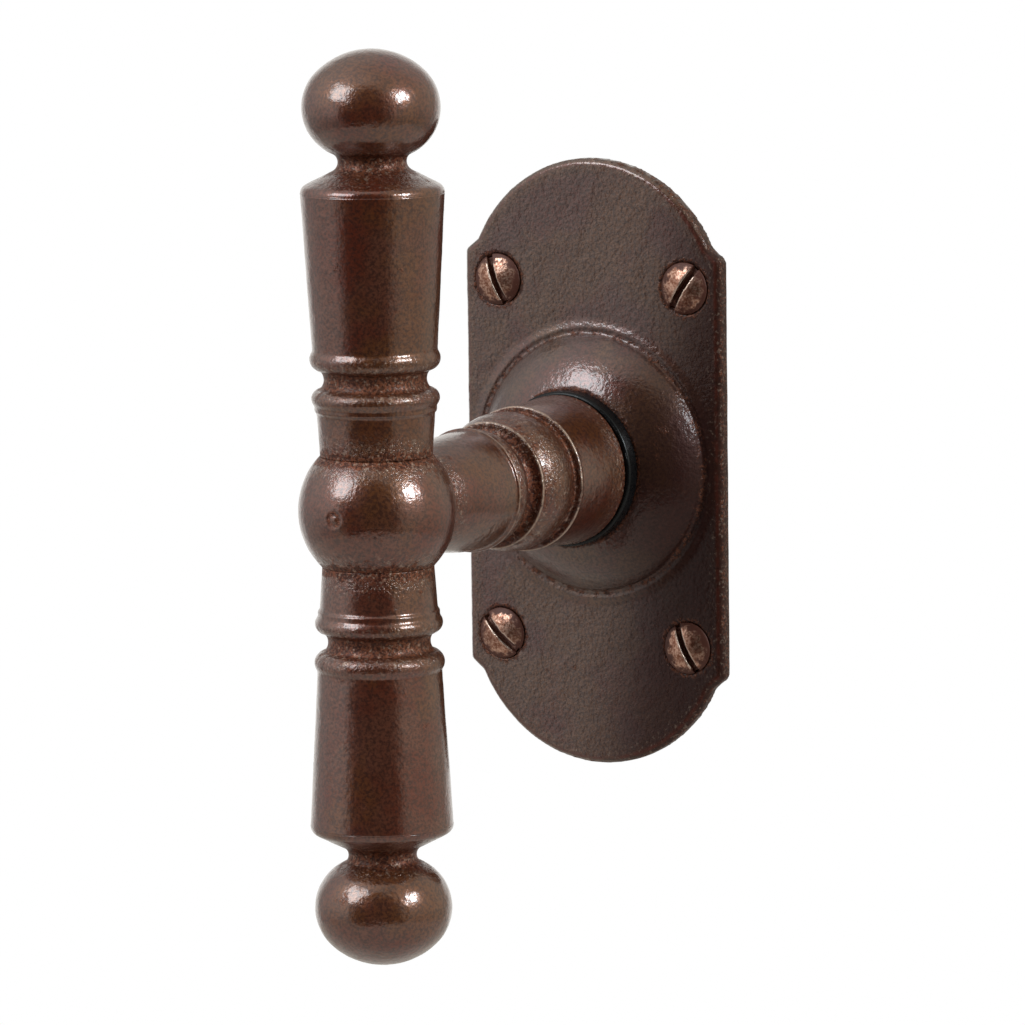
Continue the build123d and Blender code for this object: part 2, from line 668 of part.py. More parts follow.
# Arms: hollow turned sleeves between the ball and the finials
inner_bead_start = (STEP_RADIUS, inner_bead_z)
inner_bead_end = (INNER_BEAD_FOOT_RADIUS, cove_z)
outer_bead_start = (OUTER_BEAD_FOOT_RADIUS, outer_bead_z)
outer_bead_end = (BARREL_FOOT_RADIUS, barrel_z)
with BuildPart() as upper_arm:
    with BuildSketch(bar_plane):
        with BuildLine():
            Polyline(
                (rod_bore, arm_end_z),
                (rod_bore, arm_seat),
                (ARM_ROOT_RADIUS, arm_seat),
                (ARM_WAIST_RADIUS, ARM_WAIST),
                (STEP_RADIUS, step_foot_z),
                inner_bead_start,
            )
            arc_between(inner_bead_start, inner_bead_end, INNER_BEAD_RADIUS)
            arc_between(inner_bead_end, outer_bead_start, COVE_RADIUS)
            arc_between(outer_bead_start, outer_bead_end, OUTER_BEAD_RADIUS)
            Polyline(outer_bead_end, (BARREL_END_RADIUS, arm_end_z), (rod_bore, arm_end_z))
        make_face()
    revolve(axis=bar_axis)
save(upper_arm, "upper_arm")

with BuildPart() as lower_arm:
    mirror(upper_arm.part, about=Plane.XY)
save(lower_arm, "lower_arm")

# Finials: the knob at each end of the bar, its neck, and the flared cone that caps the arm.
# The neck is waisted: it flares into the cone and, less, towards the knob. The knob's side is
# an arc from its foot past its widest place, and its crown is a flatter arc that meets the
# side arc without a corner.
side_centre_x = KNOB_RADIUS - KNOB_SIDE_CURVE
knob_z = knob_foot_z + math.sqrt(KNOB_SIDE_CURVE**2 - (KNOB_FOOT_RADIUS - side_centre_x) ** 2)
knob_top_z = knob_z + KNOB_HALF_HEIGHT
crown_curve = (side_centre_x**2 + KNOB_HALF_HEIGHT**2 - KNOB_SIDE_CURVE**2) / (
    2 * (KNOB_HALF_HEIGHT - KNOB_SIDE_CURVE)
)
crown_angle = math.atan2(crown_curve - KNOB_HALF_HEIGHT, side_centre_x)
crown_start_x = side_centre_x + KNOB_SIDE_CURVE * math.cos(crown_angle)
crown_start_z = knob_z + KNOB_SIDE_CURVE * math.sin(crown_angle)
with BuildPart() as upper_finial:
    with BuildSketch(bar_plane) as finial_profile:
        with BuildLine():
            knob_side = ThreePointArc(
                (KNOB_FOOT_RADIUS, knob_foot_z),
                (KNOB_RADIUS, knob_z),
                (crown_start_x, crown_start_z),
            )
            knob_crown = TangentArc(knob_side @ 1, (0, knob_top_z), tangent=knob_side % 1)
            Polyline(
                knob_crown @ 1,
                (0, rod_end_z + LOOSE_GAP),
                (rod_bore, rod_end_z + LOOSE_GAP),
                (rod_bore, arm_end_z),
                (BARREL_END_RADIUS, arm_end_z),
                (BARREL_END_RADIUS, cone_foot_z),
                (CONE_TOP_RADIUS, cone_top_z),
            )
            TangentArc(
                (FINIAL_NECK_RADIUS, finial_neck_z), (CONE_TOP_RADIUS, cone_top_z), tangent=(0, -1)
            )
            TangentArc((FINIAL_NECK_RADIUS, finial_neck_z), knob_side @ 0, tangent=(0, 1))
        make_face()
        rim = finial_profile.vertices().sort_by_distance((BARREL_END_RADIUS, cone_foot_z))[0]
        fillet(rim, RIM_ROUNDING)
    revolve(axis=bar_axis)
save(upper_finial, "upper_finial")

with BuildPart() as lower_finial:
    mirror(upper_finial.part, about=Plane.XY)
save(lower_finial, "lower_finial")

# Tie rod: threaded rod that clamps finials, arms and ball, and locks the neck's tenon
with BuildPart() as tie_rod:
    with BuildSketch(Plane.XY):
        with Locations((0, -BALL_OUT)):
            Circle(ROD_RADIUS)
    extrude(amount=rod_end_z, both=True)
    chamfer(tie_rod.edges().filter_by(GeomType.CIRCLE), ROD_END_CHAMFER)
save(tie_rod, "tie_rod")
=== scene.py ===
import math

import bmesh
import bpy
import numpy as np
from mathutils import Matrix, Vector
from mathutils.bvhtree import BVHTree


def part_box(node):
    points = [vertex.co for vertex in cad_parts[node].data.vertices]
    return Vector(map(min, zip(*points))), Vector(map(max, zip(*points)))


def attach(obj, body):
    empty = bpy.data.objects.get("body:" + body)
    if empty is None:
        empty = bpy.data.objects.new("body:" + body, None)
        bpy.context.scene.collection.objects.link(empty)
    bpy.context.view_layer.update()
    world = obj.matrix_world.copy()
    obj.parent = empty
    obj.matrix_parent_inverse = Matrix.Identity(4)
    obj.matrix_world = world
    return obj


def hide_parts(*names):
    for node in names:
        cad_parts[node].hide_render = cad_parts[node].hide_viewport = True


# A browned cast-iron window handle. The turned pieces, the plate and its screws are rebuilt from
# the frame's solids as finer meshes with eased edges, and the iron ones get a cast skin. The rest
# keeps its solids, with materials of their own. Lengths are metres unless a comment says mm.

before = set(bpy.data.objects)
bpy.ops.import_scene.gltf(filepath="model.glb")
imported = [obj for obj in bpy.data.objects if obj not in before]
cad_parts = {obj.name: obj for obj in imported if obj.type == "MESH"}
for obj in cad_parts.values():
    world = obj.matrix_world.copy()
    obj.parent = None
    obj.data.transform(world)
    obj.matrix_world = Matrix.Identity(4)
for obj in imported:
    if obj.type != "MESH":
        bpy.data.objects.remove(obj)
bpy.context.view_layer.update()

MM = 0.001
X, Y, Z = (Vector(row) for row in np.identity(3))

# Mesh detail
PROFILE_STEP = 0.02 * MM
ROW_SPACING = 0.14 * MM
TURN_SEGMENTS = 180
EDGE_SOFTENING = 3
SEAM_LAP = 0.12 * MM
ROD_GAP = 0.05 * MM
MERGE_DISTANCE = 0.001 * MM
PLATE_VOXEL = 0.33 * MM
PLATE_SMOOTHING = 2
SCREW_VOXEL = 0.13 * MM
SCREW_SMOOTHING = 2
EASED_EDGE = 0.12 * MM
EASED_SEGMENTS = 2

# Cast skin: two sizes of unevenness, each with the most that it presses the surface in
SKIN = ((7.0 * MM, 0.12 * MM), (1.3 * MM, 0.05 * MM))

# The neck's profile is read at this angle from its pin, clear of the pin's ends
PROFILE_ANGLE = math.radians(30)

# The ball's turning mark: a shallow groove in a ring, and how grimy it is
MARK_RADIUS = 0.8 * MM
MARK_WIDTH = 0.75 * MM
MARK_DEPTH = 0.16 * MM
MARK_GRIME = 0.8

# Screw threads. The crest's flank starts and ends at these shares of the pitch from its middle,
# the thread fades in between two depths behind the plate, and it cuts away a share of the radius.
THREAD_PITCH = 1.6 * MM
THREAD_FLANK = (0.1, 0.4)
THREAD_START = (0.72 * MM, 1.2 * MM)
THREAD_DEPTH = 0.28


# Notes: values on each mesh's points, which its material reads. Wear is how far an edge stands
# out, in mm. The others go from 0 to 1, apart from the rim of the screws, which is a radius in mm.

# How far the wear on an edge, a hollow, and the grime and the grit round it reach
WEAR_REACH = 0.35 * MM
HOLLOW_REACH = 1.0 * MM
GRIME_REACH = 0.6 * MM
GRIT_REACH = 2.0 * MM

# How deep a hollow is where its grime starts and where it is full, in mm
HOLLOW_DEPTH = (0.02, 0.22)

# How much of a hollow's grime, once spread out, starts its grit and makes it full
GRIT_SPREAD = (0.03, 0.3)

# Seams are looked for up to this limit
SEAM_LIMIT = 8 * MM

# How far from a seam wear, grime and grit start and are full, in mm
SEAM_WEAR = (0.3, 1.2)
PROFILE_GRIME = (1.6, 0.1)
PROFILE_GRIT = (5.0, 1.0)
SURFACE_GRIME = (1.0, 0.1)
BALL_GRIME = (2.0, 0.2)
BALL_GRIT = (4.8, 0.8)

# Gritty stretches: the cones under the knobs, and the neck's rings, cove and band. The grit
# fades in from both ends.
CONE_GRIT = (46.4 * MM, 51.8 * MM)
NECK_GRIT = (-38.0 * MM, -24.5 * MM)
ZONE_GRIT = 0.8
ZONE_FADE = 1.0 * MM

# The plate's outline: its side faces hardly lean and lie beyond these shares of its half sizes,
# and they are looked for up to a limit
SIDE_LEAN = 0.1
OUTLINE_X = 0.9
OUTLINE_Z = 0.72
OUTLINE_LIMIT = 6 * MM

# Along the outline, in mm: a rusty line on the bevel's edge, seen only on the plate's front, a
# tan band, and rust on the side face
RIM_LINE_PLACE = 1.0
RIM_LINE_WIDTH = 0.26
RIM_LINE_FRONT = (1.0, 1.6)
EDGING_REACH = (3.4, 0.8)
EDGING_LEVEL = 0.8
SIDE_RUST_REACH = 0.5
SIDE_RUST_LEVEL = 0.65

# Painted shade: the plate's colour is darkened towards its right and bottom, and its wax dulled
# there.
# The plate is darker and duller towards its right. Going down counts as a share of going right.
PAINTED_SHADE_DOWN_SHARE = 0.17
PAINTED_SHADE_FROM_TO = (5 * MM, 31 * MM)


def middle_of(name):
    low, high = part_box(name)
    return (low + high) / 2


def tree_of(names):
    """One search tree over several CAD nodes."""
    points, faces = [], []
    for name in names:
        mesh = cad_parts[name].data
        first = len(points)
        points += [vertex.co.copy() for vertex in mesh.vertices]
        faces += [[first + index for index in face.vertices] for face in mesh.polygons]
    return BVHTree.FromPolygons(points, faces)


def distances_to(tree, points, limit):
    """How far each point is from the tree's faces, in mm, up to a limit."""
    found = [tree.find_nearest(point, limit)[3] for point in points]
    return np.array([limit if distance is None else distance for distance in found]) / MM


def seam_distances(points, neighbours):
    """How far each point is from the nearest of these CAD nodes, in mm."""
    if not neighbours:
        return np.full(len(points), SEAM_LIMIT / MM)
    return distances_to(tree_of(neighbours), points, SEAM_LIMIT)


class Axis:
    """A turning axis: heights run along it, and across is where its profile is read."""

    def __init__(self, origin, along, across):
        self.origin = origin
        self.along = along
        self.across = across.normalized()

    def point(self, height, radius):
        return self.origin + self.along * height + self.across * radius

    def span(self, name):
        points = [vertex.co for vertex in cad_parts[name].data.vertices]
        heights = [(point - self.origin).dot(self.along) for point in points]
        return min(heights), max(heights)


BAR = Axis(Vector((0, middle_of("tie_rod").y, 0)), Z, X)
SPINDLE = Axis(Vector(), Y, Vector((math.cos(PROFILE_ANGLE), 0, math.sin(PROFILE_ANGLE))))


def outside(name, axis):
    """Heights and radii of a turned node's outside, read by rays towards its axis."""
    low, high = axis.span(name)
    tree = tree_of([name])
    far = max(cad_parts[name].dimensions)
    rows = round((high - low) / PROFILE_STEP)
    line = []
    for row in range(rows):
        height = low + (row + 0.5) * (high - low) / rows
        hit = tree.ray_cast(axis.point(height, far), -axis.across)[0]
        line.append((height, (hit - axis.origin).dot(axis.across)))
    return np.array([(low, line[0][1]), *line, (high, line[-1][1])])


def respaced(line, spacing):
    """The same line with points a fixed distance apart along it."""
    lengths = np.concatenate(([0], np.cumsum(np.hypot(*np.diff(line, axis=0).T))))
    places = np.linspace(0, lengths[-1], max(2, round(lengths[-1] / spacing)))
    return np.column_stack([np.interp(places, lengths, line[:, side]) for side in (0, 1)])


def softened(line, passes):
    """A line, or values along it, with corners eased and its ends where they were."""
    line = line.copy()
    for _ in range(passes):
        line[1:-1] = (line[:-2] + 2 * line[1:-1] + line[2:]) / 4
    return line


def profile_of(name, axis):
    return softened(respaced(outside(name, axis), ROW_SPACING), EDGE_SOFTENING)


def passes_for(reach, spacing):
    """How many easing passes spread a corner this far."""
    return round(2 * (reach / spacing) ** 2)


def stepped(values, low, high):
    """0 at low and 1 at high, with a smooth rise between."""
    part = np.clip((values - low) / (high - low), 0, 1)
    return part * part * (3 - 2 * part)


def near(distance, start, full):
    """0 as far off as start, and 1 as near as full."""
    return stepped(-distance, -start, -full)


def bell(values, middle, width):
    return np.exp(-(((values - middle) / width) ** 2))


def relief_along(line, reach):
    """How far each point of a profile stands out from its eased line, in mm."""
    slope = np.gradient(line, axis=0)
    outward = np.column_stack((-slope[:, 1], slope[:, 0])) / np.hypot(*slope.T)[:, None]
    if outward[:, 1].sum() < 0:
        outward = -outward
    eased = softened(line, passes_for(reach, ROW_SPACING))
    return ((line - eased) * outward).sum(1) / MM


def profile_notes(line, axis, neighbours):
    """Notes along a profile: worn on sharp edges, grimy and gritty in hollows and at seams."""
    seam = seam_distances([axis.point(*place) for place in line], neighbours)
    hollow = stepped(-relief_along(line, HOLLOW_REACH), *HOLLOW_DEPTH)
    near_hollow = softened(hollow, passes_for(GRIME_REACH, ROW_SPACING))
    round_hollow = softened(hollow, passes_for(GRIT_REACH, ROW_SPACING))
    return {
        "wear": relief_along(line, WEAR_REACH) * stepped(seam, *SEAM_WEAR),
        "grime": np.maximum(near_hollow, near(seam, *PROFILE_GRIME)),
        "grit": np.maximum(stepped(round_hollow, *GRIT_SPREAD), near(seam, *PROFILE_GRIT)),
    }


def with_zone(grit, heights, zone):
    """Grit along a profile, with a gritty stretch from one height to another added."""
    first, last = zone
    rising = stepped(heights, first, first + ZONE_FADE)
    falling = stepped(-heights, -last, ZONE_FADE - last)
    return np.maximum(grit, ZONE_GRIT * rising * falling)


def padded_notes(notes, before, after):
    """Notes for a longer line, whose added points are hidden and have neither wear nor grime."""
    return {note: np.pad(values, (before, after)) for note, values in notes.items()}


def write_notes(mesh, notes):
    for name, values in notes.items():
        mesh.attributes.new(name, "FLOAT", "POINT").data.foreach_set("value", values)


def vectors_of(mesh, name):
    """Each point's place (co) or normal."""
    values = np.empty(3 * len(mesh.vertices))
    mesh.vertices.foreach_get(name, values)
    return values.reshape(-1, 3)


def move_points(mesh, points):
    mesh.vertices.foreach_set("co", points.ravel())
    mesh.update()


def eased_over(mesh, values, reach, spacing):
    """Values on an even mesh, averaged with their neighbours' again and again.

    A mesh spreads them half as fast as a line does, so it takes twice the passes.
    """
    ends = np.empty(2 * len(mesh.edges), int)
    mesh.edges.foreach_get("vertices", ends)
    first, second = ends.reshape(-1, 2).T
    here = np.concatenate((first, second))
    other = np.concatenate((second, first))
    degree = np.bincount(here, minlength=len(values))
    columns = list(values.T) if values.ndim > 1 else [values]
    for _ in range(2 * passes_for(reach, spacing)):
        columns = [(c + np.bincount(here, c[other], len(c)) / degree) / 2 for c in columns]
    return np.column_stack(columns) if values.ndim > 1 else columns[0]


def surface_notes(mesh, spacing, neighbours):
    """Wear and grime over an even mesh, as profile_notes gives them along a line."""
    points, normals = vectors_of(mesh, "co"), vectors_of(mesh, "normal")
    reliefs = []
    for reach in (WEAR_REACH, HOLLOW_REACH):
        eased = eased_over(mesh, points, reach, spacing)
        reliefs.append(((points - eased) * normals).sum(1) / MM)
    wear, hollow_relief = reliefs
    seam = seam_distances(points, neighbours)
    hollow = stepped(-hollow_relief, *HOLLOW_DEPTH)
    near_hollow = eased_over(mesh, hollow, GRIME_REACH, spacing)
    return {
        "wear": wear * stepped(seam, *SEAM_WEAR),
        "grime": np.maximum(near_hollow, near(seam, *SURFACE_GRIME)),
    }


def turned(name, line, axis, closed, notes):
    """A mesh turned from heights and radii, closed round a bore or ending on the axis."""
    heights, radii = np.array(line).T
    turns = np.arange(TURN_SEGMENTS) * math.tau / TURN_SEGMENTS
    side = axis.along.cross(axis.across)
    around = np.outer(np.cos(turns), axis.across) + np.outer(np.sin(turns), side)
    centres = np.array(axis.origin) + np.outer(heights, axis.along)
    points = centres[:, None] + radii[:, None, None] * around
    rows = np.arange(len(heights))[:, None] * TURN_SEGMENTS
    below, above = (rows, np.roll(rows, -1, 0)) if closed else (rows[:-1], rows[1:])
    here = np.arange(TURN_SEGMENTS)
    beside = np.roll(here, -1)
    corners = (below + here, below + beside, above + beside, above + here)
    faces = np.column_stack([corner.ravel() for corner in corners])
    mesh = bpy.data.meshes.new(name)
    mesh.from_pydata(points.reshape(-1, 3), [], faces)
    write_notes(mesh, {note: np.repeat(row, TURN_SEGMENTS) for note, row in notes.items()})
    shape = bmesh.new()
    shape.from_mesh(mesh)
    bmesh.ops.remove_doubles(shape, verts=shape.verts, dist=MERGE_DISTANCE)
    bmesh.ops.recalc_face_normals(shape, faces=shape.faces)
    shape.to_mesh(mesh)
    shape.free()
    mesh.shade_smooth()
    return mesh


def remeshed(name, voxel, smoothing):
    """A CAD node's shape as an even fine mesh with its edges eased."""
    copy = bpy.data.objects.new("copy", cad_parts[name].data.copy())
    bpy.context.scene.collection.objects.link(copy)
    weld = copy.modifiers.new("weld", "WELD")
    weld.merge_threshold = MERGE_DISTANCE
    remesh = copy.modifiers.new("remesh", "REMESH")
    remesh.mode = "VOXEL"
    remesh.voxel_size = voxel
    smooth = copy.modifiers.new("smooth", "SMOOTH")
    smooth.iterations = smoothing
    graph = bpy.context.evaluated_depsgraph_get()
    mesh = bpy.data.meshes.new_from_object(copy.evaluated_get(graph))
    bpy.data.objects.remove(copy)
    mesh.materials.clear()
    mesh.name = name
    mesh.shade_smooth()
    return mesh


# Shader nodes

NOISE_ROUGHNESS = 0.6


def colour(red, green, blue):
    """A colour given in screen values from 0 to 255."""
    parts = [part / 255 for part in (red, green, blue)]
    return (*[((p + 0.055) / 1.055) ** 2.4 if p > 0.04045 else p / 12.92 for p in parts], 1.0)


def add_node(tree, kind, inputs, **settings):
    """Adds a shader node, joins or sets its inputs and returns it."""
    made = tree.nodes.new("ShaderNode" + kind)
    for name, value in settings.items():
        setattr(made, name, value)
    for key, value in inputs.items():
        if isinstance(value, bpy.types.NodeSocket):
            tree.links.new(value, made.inputs[key])
        else:
            made.inputs[key].default_value = value
    return made


def noise(tree, size, detail, shift=0.0, stretch=(1, 1, 1)):
    """Noise with features of about this size, in the piece's own coordinates."""
    where = add_node(tree, "TexCoord", {}).outputs["Object"]
    placing = {"Vector": where, "Location": (shift, shift, shift), "Scale": stretch}
    moved = add_node(tree, "Mapping", placing).outputs[0]
    look = {"Scale": 1 / size, "Detail": detail, "Roughness": NOISE_ROUGHNESS}
    return add_node(tree, "TexNoise", {"Vector": moved, **look}).outputs["Fac"]


def ramp(tree, value, low, high, to_low=0.0, to_high=1.0):
    """Maps a range of values to another, held at its ends."""
    inputs = {
        "Value": value, "From Min": low, "From Max": high, "To Min": to_low, "To Max": to_high,
    }
    return add_node(tree, "MapRange", inputs, interpolation_type="SMOOTHSTEP").outputs[0]


def spots(tree, size, detail, shift, low, high):
    """Noise whose values from low to high are stretched to 0 to 1."""
    return ramp(tree, noise(tree, size, detail, shift), low, high)


def math_node(tree, operation, a, b):
    return add_node(tree, "Math", {0: a, 1: b}, operation=operation).outputs[0]


def plus(tree, a, b):
    return math_node(tree, "ADD", a, b)


def times(tree, a, b):
    return math_node(tree, "MULTIPLY", a, b)


def larger(tree, a, b):
    return math_node(tree, "MAXIMUM", a, b)


def mix_colours(tree, factor, a, b):
    made = tree.nodes.new("ShaderNodeMix")
    made.data_type = "RGBA"
    for socket, value in ((made.inputs[0], factor), (made.inputs[6], a), (made.inputs[7], b)):
        if isinstance(value, bpy.types.NodeSocket):
            tree.links.new(value, socket)
        else:
            socket.default_value = value
    return made.outputs[2]


def bumps(tree, heights):
    """Several layers of bump, each a (height from 0 to 1, depth in metres)."""
    normal = None
    for height, depth in heights:
        inputs = {"Height": height, "Distance": depth, "Strength": 1.0}
        if normal:
            inputs["Normal"] = normal
        normal = add_node(tree, "Bump", inputs).outputs[0]
    return normal


def notes_in(tree, *names):
    return [add_node(tree, "Attribute", {}, attribute_name=name).outputs["Fac"] for name in names]


def new_material(name):
    material = bpy.data.materials.new(name)
    material.use_nodes = True
    tree = material.node_tree
    tree.nodes.clear()
    return material, tree


def principled(tree, inputs):
    shader = add_node(tree, "BsdfPrincipled", inputs)
    add_node(tree, "OutputMaterial", {"Surface": shader.outputs[0]})


# Patina. Its noises: size, detail and shift, and for spots the values that become 0 and 1.
BLOTCHES = (9 * MM, 4.0, 0.0, 0.36, 0.64)
WARM_AREAS = (13 * MM, 3.0, 0.83, 0.44, 0.6)
RUST_PATCHES = (3.5 * MM, 4.0, 0.31, 0.56, 0.72)
CRUMBS = (0.4 * MM, 2.0, 0.57, 0.42, 0.6)
SPECKS = (0.62 * MM, 3.0, 0.91, 0.56, 0.66)
SPECKLE = (0.45 * MM, 2.0)
RAGGED = (1.4 * MM, 4.0, 0.13)
DENTS = (1.8 * MM, 2.0, 0.71)
PITS = (0.6 * MM, 2.0, 0.43)
TURNING_LINES = (0.3 * MM, 2.0)

# Rust: what patches and grit add to the grime, how ragged noise breaks it up, and its range
PATCH_RUST = 0.35
GRIT_RUST = 0.3
RAGGED_RUST = (0.3, 0.7, -0.45, 0.35)
RUST_RANGE = (0.2, 0.9)

# Wear and the bevel's line: the relief in mm that is rubbed bare, and the breaks in both
RUBBED_RELIEF = (0.05, 0.13)
RUBBED_BREAKS = (0.34, 0.5)
RIM_BREAKS = (0.3, 0.6)

# How far each layer of colour covers the ones under it
WARM_COVER = 0.7
SPECKLE_COVER = (0.36, 0.66, 0.0, 0.75)
PAINTED_SHADE_COVER = (0.0, 1.0, 0.0, 0.85)
RUST_COVER = 0.65
FLECK_COVER = 0.36
RUBBED_COVER = 0.7

# Gloss of the wax: full on sound iron, and nearly gone where it is rusty or in painted shade
IRON_ROUGHNESS = (0.35, 0.65, 0.3, 0.38)
DULL_ROUGHNESS = 0.2
DULL_COAT = (0.0, 1.0, 1.0, 0.15)
IRON_GLOSS = {"Specular IOR Level": 0.3, "Coat Roughness": 0.16, "Coat IOR": 1.6}

# Bump: dents as a share of the pits, crumbs of rust, and the lines left by turning
DENT_SHARE = 0.7
CRUMB_HEIGHT = 0.035 * MM
TURNING_MARKS = 0.008 * MM

RIM_LINE = colour(78, 34, 24)
# The colour of the painted shade on the plate's right and bottom
PAINTED_SHADE_TONE = colour(38, 12, 9)
BAR_TONES = {
    "grey": colour(103, 60, 45), "brown": colour(99, 42, 25), "tan": colour(103, 62, 31),
    "dark": colour(48, 21, 15), "rust": colour(122, 70, 48), "worn": colour(186, 162, 144),
}
NECK_TONES = {
    **BAR_TONES,
    "grey": colour(98, 53, 37), "brown": colour(93, 38, 21), "tan": colour(98, 56, 25),
}
PLATE_TONES = {
    "grey": colour(84, 52, 46), "brown": colour(84, 42, 33), "tan": colour(93, 64, 43),
    "dark": colour(42, 22, 18), "rust": colour(106, 60, 40), "worn": colour(160, 142, 128),
}


def patina(name, tones, pits, metallic, turning=None):
    """Browned, waxed iron: blotches, a fine speckle, rust in hollows and wear on the edges."""
    material, tree = new_material(name)
    notes = notes_in(tree, "wear", "grime", "grit", "rim", "edging", "painted_shade")
    wear, grime, grit, rim, edging, painted_shade = notes
    speckle = noise(tree, *SPECKLE)
    ragged = noise(tree, *RAGGED)
    crumbs = spots(tree, *CRUMBS)

    rusty = plus(tree, grime, times(tree, spots(tree, *RUST_PATCHES), PATCH_RUST))
    rusty = plus(tree, rusty, times(tree, grit, GRIT_RUST))
    rusty = plus(tree, rusty, ramp(tree, ragged, *RAGGED_RUST))
    rusty = ramp(tree, rusty, *RUST_RANGE)
    rubbed = times(tree, ramp(tree, wear, *RUBBED_RELIEF), ramp(tree, ragged, *RUBBED_BREAKS))
    flecked = times(tree, larger(tree, grit, edging), spots(tree, *SPECKS))
    tanned = larger(tree, times(tree, spots(tree, *WARM_AREAS), WARM_COVER), edging)
    rim_line = times(tree, rim, ramp(tree, ragged, *RIM_BREAKS))
    crumb = mix_colours(tree, crumbs, tones["dark"], tones["rust"])

    tone = mix_colours(tree, spots(tree, *BLOTCHES), tones["brown"], tones["grey"])
    covers = (
        (tanned, tones["tan"]),
        (ramp(tree, speckle, *SPECKLE_COVER), tones["dark"]),
        # The last cover but rust: painted shade, where a mesh has it (the plate's right and bottom)
        (ramp(tree, painted_shade, *PAINTED_SHADE_COVER), PAINTED_SHADE_TONE),
        (times(tree, rusty, RUST_COVER), crumb),
        (times(tree, flecked, FLECK_COVER), tones["worn"]),
        (rim_line, RIM_LINE),
        (times(tree, rubbed, RUBBED_COVER), tones["worn"]),
    )
    for cover, over in covers:
        tone = mix_colours(tree, cover, tone, over)

    # Rust, and the plate's painted shade, dull the wax
    rust_and_painted_shade = larger(tree, rusty, painted_shade)
    rough = ramp(tree, speckle, *IRON_ROUGHNESS)
    rough = plus(tree, rough, times(tree, rust_and_painted_shade, DULL_ROUGHNESS))
    layers = [
        (noise(tree, *DENTS), DENT_SHARE * pits),
        (noise(tree, *PITS), pits),
        (times(tree, larger(tree, rusty, grit), crumbs), CRUMB_HEIGHT),
    ]
    if turning:
        layers.append((noise(tree, *TURNING_LINES, stretch=turning), TURNING_MARKS))
    normal = bumps(tree, layers)
    principled(tree, {
        "Base Color": tone, "Roughness": rough, "Metallic": metallic, "Normal": normal,
        "Coat Weight": ramp(tree, rust_and_painted_shade, *DULL_COAT), "Coat Normal": normal, **IRON_GLOSS,
    })
    return material


# Screw heads: coppered, bright where fingers and cloths reach, and rusty towards the rim. The
# rust starts and is full at these radii in mm, moved in and out by ragged noise.
SCREW_RAGGED = (1.1 * MM, 3.0, 0.19)
SCREW_FINE = (0.35 * MM, 2.0, 0.37)
SCREW_BRIGHT = colour(188, 150, 132)
SCREW_DULL = colour(132, 90, 72)
SCREW_BROWN = colour(106, 62, 46)
SCREW_RUBBED = colour(206, 186, 172)
SCREW_RUST = colour(74, 36, 24)
SCREW_DULL_COVER = (0.4, 0.62)
SCREW_BROWN_COVER = (0.46, 0.6, 0.0, 0.6)
SCREW_RUBBED_RELIEF = (0.05, 0.12)
SCREW_RUBBED_COVER = 0.8
SCREW_RUST_SHIFT = (0.3, 0.7, -0.7, 0.7)
SCREW_RUST_RADII = (2.5, 3.5)
SCREW_RUST_GRIME = (0.2, 0.7)
SCREW_ROUGHNESS = (0.0, 1.0, 0.3, 0.55)
SCREW_METALLIC = (0.0, 1.0, 0.9, 0.3)
SCREW_RAGGED_DEPTH = 0.08 * MM
SCREW_FINE_DEPTH = 0.02 * MM


def worn_screw(name):
    material, tree = new_material(name)
    rim, grime, wear = notes_in(tree, "rim", "grime", "wear")
    ragged = noise(tree, *SCREW_RAGGED)
    fine = noise(tree, *SCREW_FINE)
    radius = plus(tree, rim, ramp(tree, ragged, *SCREW_RUST_SHIFT))
    rusty = larger(
        tree, ramp(tree, radius, *SCREW_RUST_RADII), ramp(tree, grime, *SCREW_RUST_GRIME)
    )
    rubbed = times(tree, ramp(tree, wear, *SCREW_RUBBED_RELIEF), SCREW_RUBBED_COVER)
    tone = mix_colours(tree, ramp(tree, fine, *SCREW_DULL_COVER), SCREW_BRIGHT, SCREW_DULL)
    tone = mix_colours(tree, ramp(tree, ragged, *SCREW_BROWN_COVER), tone, SCREW_BROWN)
    tone = mix_colours(tree, rubbed, tone, SCREW_RUBBED)
    tone = mix_colours(tree, rusty, tone, SCREW_RUST)
    principled(tree, {
        "Base Color": tone,
        "Roughness": ramp(tree, rusty, *SCREW_ROUGHNESS),
        "Metallic": ramp(tree, rusty, *SCREW_METALLIC),
        "Normal": bumps(tree, ((ragged, SCREW_RAGGED_DEPTH), (fine, SCREW_FINE_DEPTH))),
    })
    return material


# Plain metals and plastics: blotches some grains wide, and a fine grain in tone and roughness
BLOTCH_GRAINS = 6
BLOTCH_DETAIL = 3.0
BLOTCH_RANGE = (0.35, 0.65)
GRAIN_DETAIL = 3.0
GRAIN_SHIFT = 0.29
GRAIN_COVER = (0.4, 0.8, 0.0, 0.3)
GRAIN_RANGE = (0.3, 0.7)
SMOOTHER = 0.06
ROUGHER = 0.08
GRAIN_BUMP = 0.006 * MM


def mottled(name, main, other, grain, roughness, metallic=1.0, shine=0.5):
    """A plain metal or plastic with a mottled finish of a given grain size."""
    material, tree = new_material(name)
    blotch = ramp(tree, noise(tree, BLOTCH_GRAINS * grain, BLOTCH_DETAIL), *BLOTCH_RANGE)
    fine = noise(tree, grain, GRAIN_DETAIL, GRAIN_SHIFT)
    tone = mix_colours(tree, blotch, main, other)
    tone = mix_colours(tree, ramp(tree, fine, *GRAIN_COVER), tone, other)
    rough = ramp(tree, fine, *GRAIN_RANGE, roughness - SMOOTHER, roughness + ROUGHER)
    principled(tree, {
        "Base Color": tone, "Roughness": rough, "Metallic": metallic,
        "Specular IOR Level": shine, "Normal": bumps(tree, ((fine, GRAIN_BUMP),)),
    })
    return material


